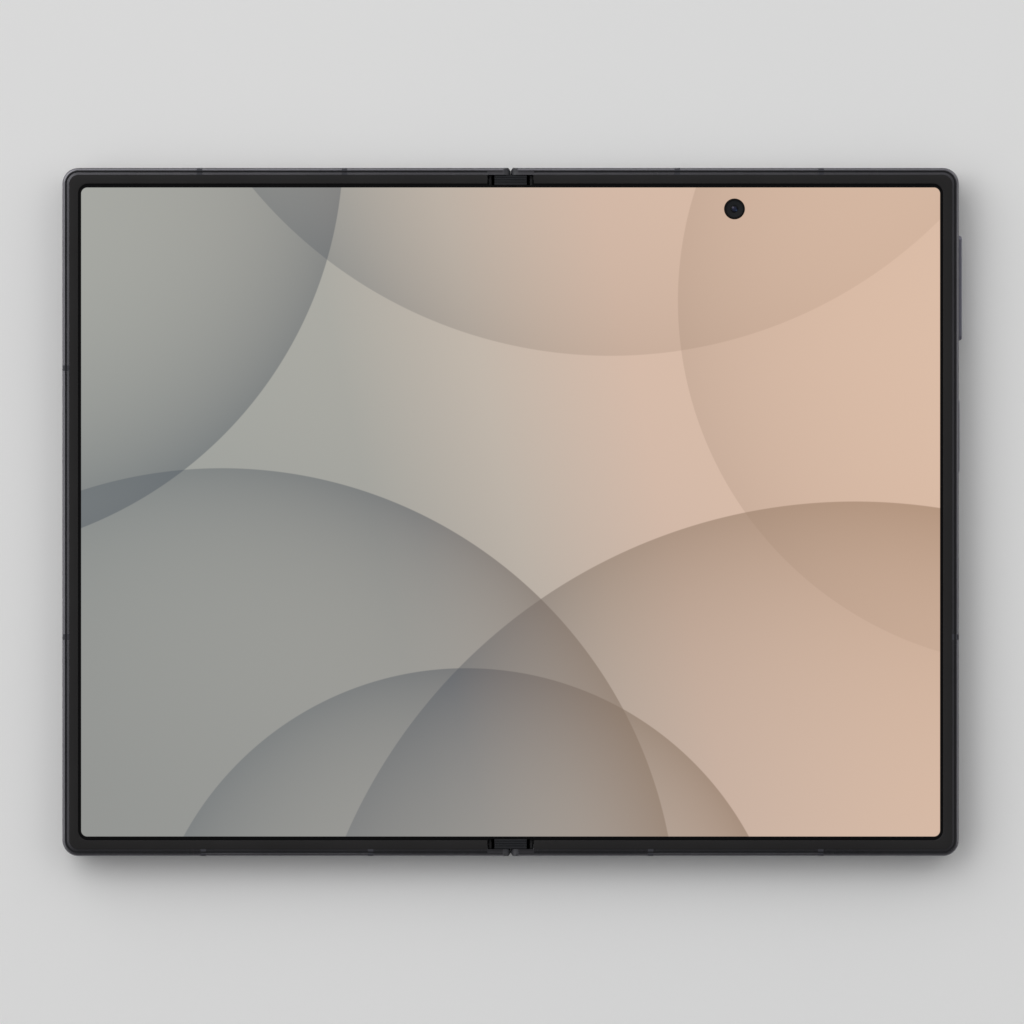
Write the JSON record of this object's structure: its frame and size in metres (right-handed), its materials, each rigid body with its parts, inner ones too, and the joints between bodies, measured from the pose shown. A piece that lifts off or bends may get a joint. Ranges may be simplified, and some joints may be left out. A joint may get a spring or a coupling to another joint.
{
  "type": "foldable smartphone",
  "caption": "Book-style foldable smartphone, lying open: flexible screen across two thin halves, geared hinge with wing plates, keys, card tray and rear camera island.",
  "frame": {"origin": "on the fold line, at the middle of the height, at the level of the camera island's lowest face", "axes": "+X across the open screen to the right, +Y up the screen, +Z out of the screen"},
  "size_m": [0.162, 0.1238, 0.0063],
  "materials": {
    "frame_metal": "graphite anodised aluminium, satin",
    "antenna_plastic": "moulded plastic, a little darker than the frame",
    "rim_plastic": "matte soft black rim",
    "screen": "lit display under a clear glossy film",
    "steel": "plain stainless steel",
    "back_glass": "dark satin back glass, tinted from behind",
    "cover_glass": "black cover glass, polished",
    "island_metal": "dark satin metal",
    "lens_glass": "coated camera glass, near black",
    "flash_lens": "frosted diffuser",
    "black_plastic": "black moulded housing",
    "circuit_board": "solder-masked board",
    "battery_pouch": "black wrapped cell",
    "copper": "bare copper and gold foil",
    "gear_metal": "hardened gear alloy"
  },
  "bodies": {
    "right_half": {"right_frame": "frame_metal", "right_antenna_breaks": "antenna_plastic", "right_bezel": "rim_plastic", "right_display_panel": "screen", "right_display_plate": "steel", "right_back_glass": "back_glass", "camera_island": "island_metal", "camera_lens_rings": "steel", "camera_lens_glass": "lens_glass", "rear_camera_modules": "black_plastic", "flash_window": "flash_lens", "inner_camera_lens": "lens_glass", "inner_camera_module": "black_plastic", "main_board": "circuit_board", "shield_cans": "steel", "board_screws": "steel", "right_battery": "battery_pouch", "wireless_coil": "copper", "loudspeaker": "black_plastic", "vibration_motor": "steel", "usb_port": "steel", "usb_tongue": "black_plastic", "usb_board": "circuit_board", "key_switches": "copper", "right_hinge_arms": "steel", "right_geared_arms": "gear_metal", "right_arm_screws": "steel"},
    "spine": {"hinge_cover": "frame_metal", "hinge_end_caps": "rim_plastic", "hinge_brackets": "steel", "hinge_pins": "steel", "cam_followers": "gear_metal", "torque_springs": "steel", "centre_plate": "steel", "hinge_screws": "steel", "display_flex": "screen", "hinge_flex_cable": "copper"},
    "left_half": {"left_frame": "frame_metal", "left_antenna_breaks": "antenna_plastic", "left_bezel": "rim_plastic", "left_display_panel": "screen", "left_display_plate": "steel", "cover_glass": "cover_glass", "cover_display_panel": "black_plastic", "cover_camera": "black_plastic", "left_battery": "battery_pouch", "left_board": "circuit_board", "left_board_screws": "steel", "earpiece_speaker": "black_plastic", "sim_socket": "steel", "left_hinge_arms": "steel", "left_geared_arms": "gear_metal", "left_arm_screws": "steel"},
    "idler_gear_right": {"idler_gears_right": "gear_metal"},
    "idler_gear_left": {"idler_gears_left": "gear_metal"},
    "right_wing": {"right_wing_plate": "steel"},
    "left_wing": {"left_wing_plate": "steel"},
    "volume_rocker": {"volume_key": "frame_metal"},
    "power_button": {"power_key": "frame_metal"},
    "card_tray": {"sim_tray": "frame_metal"}
  },
  "joints": [
    {"name": "spine_fold", "type": "hinge", "parent": "right_half", "child": "spine", "pos_m": [0.00135, 0, 0.005], "axis": [0, 1, 0], "range_deg": [0, 90], "deforming": ["display_flex", "hinge_flex_cable"]},
    {"name": "left_fold", "type": "hinge", "parent": "spine", "child": "left_half", "pos_m": [-0.00135, 0, 0.005], "axis": [0, 1, 0], "range_deg": [0, 90]},
    {"name": "idler_right_turn", "type": "hinge", "parent": "spine", "child": "idler_gear_right", "pos_m": [0.0007, 0, 0.00376], "axis": [0, 1, 0], "range_deg": [0, 90]},
    {"name": "idler_left_turn", "type": "hinge", "parent": "spine", "child": "idler_gear_left", "pos_m": [-0.0007, 0, 0.00376], "axis": [0, 1, 0], "range_deg": [-90, 0]},
    {"name": "right_wing_tilt", "type": "hinge", "parent": "right_half", "child": "right_wing", "pos_m": [0.0046, 0, 0.00548], "axis": [0, 1, 0], "range_deg": [-16, 0]},
    {"name": "left_wing_tilt", "type": "hinge", "parent": "left_half", "child": "left_wing", "pos_m": [-0.0046, 0, 0.00548], "axis": [0, 1, 0], "range_deg": [0, 16]},
    {"name": "volume_rock", "type": "hinge", "parent": "right_half", "child": "volume_rocker", "pos_m": [0.0799, 0.04035, 0.00405], "axis": [0, 0, 1], "range_deg": [-1.2, 1.2], "stiffness_Nm_per_rad": 0.02},
    {"name": "power_press", "type": "slide", "parent": "right_half", "child": "power_button", "axis": [-1, 0, 0], "range_m": [0, 0.00025], "stiffness_N_per_m": 800},
    {"name": "tray_slide", "type": "slide", "parent": "left_half", "child": "card_tray", "axis": [0, -1, 0], "range_m": [0, 0.018]}
  ],
  "couplings": [
    {"joint": "left_fold", "follows": "spine_fold", "ratio": 1},
    {"joint": "idler_right_turn", "follows": "spine_fold", "ratio": 1},
    {"joint": "idler_left_turn", "follows": "spine_fold", "ratio": -1},
    {"joint": "right_wing_tilt", "follows": "spine_fold", "ratio": -0.17778},
    {"joint": "left_wing_tilt", "follows": "spine_fold", "ratio": 0.17778}
  ]
}
